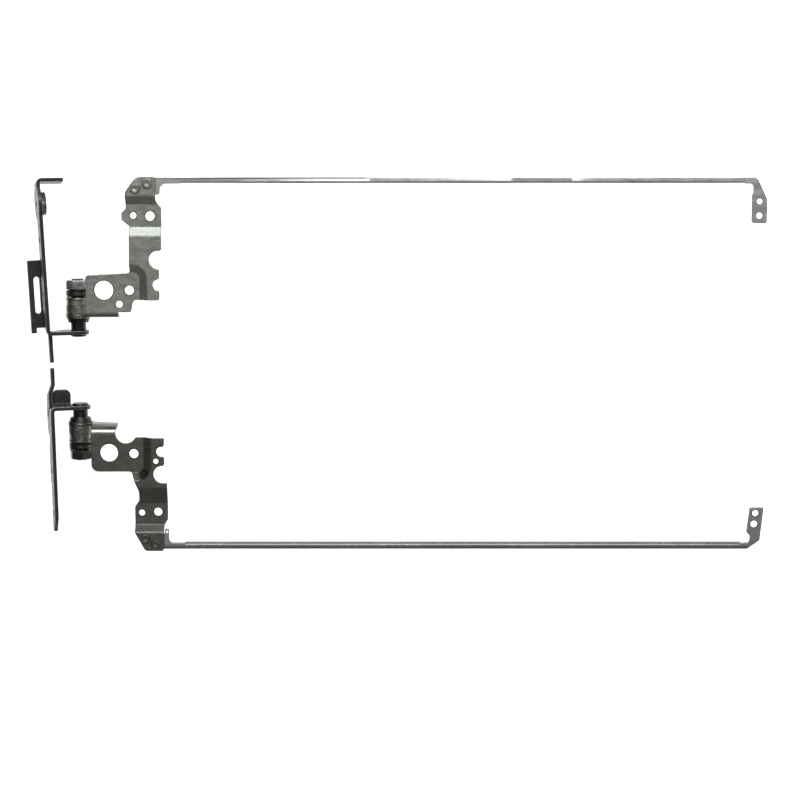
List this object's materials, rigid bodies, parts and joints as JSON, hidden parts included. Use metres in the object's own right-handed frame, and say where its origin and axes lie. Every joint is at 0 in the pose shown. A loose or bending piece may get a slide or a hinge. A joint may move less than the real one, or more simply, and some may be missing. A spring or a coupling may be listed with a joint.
{
  "type": "pair of laptop hinges",
  "caption": "Pair of laptop lid hinges: stepped steel lid brackets with long riveted side rails, joined by friction pins with spring washers to black base brackets.",
  "frame": {"origin": "middle of the pair's plan, at the level of the ears' lowest points", "axes": "+X from the pins along the rails, +Y from the left hinge to the right hinge along the pins, +Z out of the lid brackets' cover side"},
  "size_m": [0.2588, 0.1316, 0.0127],
  "materials": {
    "right_lid_steel": "satin nickel-plated steel sheet",
    "left_lid_steel": "satin nickel-plated steel sheet, darker",
    "right_rail_steel": "bright drawn steel strip",
    "left_rail_steel": "drawn steel strip",
    "rivet_steel": "satin steel",
    "base_black": "black electro-coat, worn at the edges",
    "pin_steel": "dark oiled steel",
    "stack_steel": "dark greased steel",
    "spring_black": "black spring steel",
    "nut_steel": "dark plated steel"
  },
  "bodies": {
    "lid_side": {"right_lid_bracket": "right_lid_steel", "right_rail": "right_rail_steel", "right_rail_rivets": "rivet_steel", "right_friction_ring": "stack_steel", "left_lid_bracket": "left_lid_steel", "left_rail": "left_rail_steel", "left_rail_rivets": "rivet_steel", "left_friction_ring": "stack_steel"},
    "right_base": {"right_base_bracket": "base_black", "right_clinch_nut": "base_black", "right_hinge_pin": "pin_steel", "right_collar_washer": "stack_steel", "right_friction_disc": "stack_steel", "right_wear_washer": "stack_steel", "right_spring_washers": "spring_black", "right_lock_nut": "nut_steel"},
    "left_base": {"left_base_bracket": "base_black", "left_hinge_pin": "pin_steel", "left_collar_washer": "stack_steel", "left_friction_disc": "stack_steel", "left_wear_washer": "stack_steel", "left_spring_washers": "spring_black", "left_lock_nut": "nut_steel"}
  },
  "joints": [
    {"name": "right_hinge", "type": "hinge", "parent": "lid_side", "child": "right_base", "pos_m": [-0.1117, 0.01675, 0.0043], "axis": [0, 1, 0], "range_deg": [-107, 28]},
    {"name": "left_hinge", "type": "hinge", "parent": "lid_side", "child": "left_base", "pos_m": [-0.1117, -0.02095, 0.0043], "axis": [0, 1, 0], "range_deg": [-107, 28]}
  ]
}
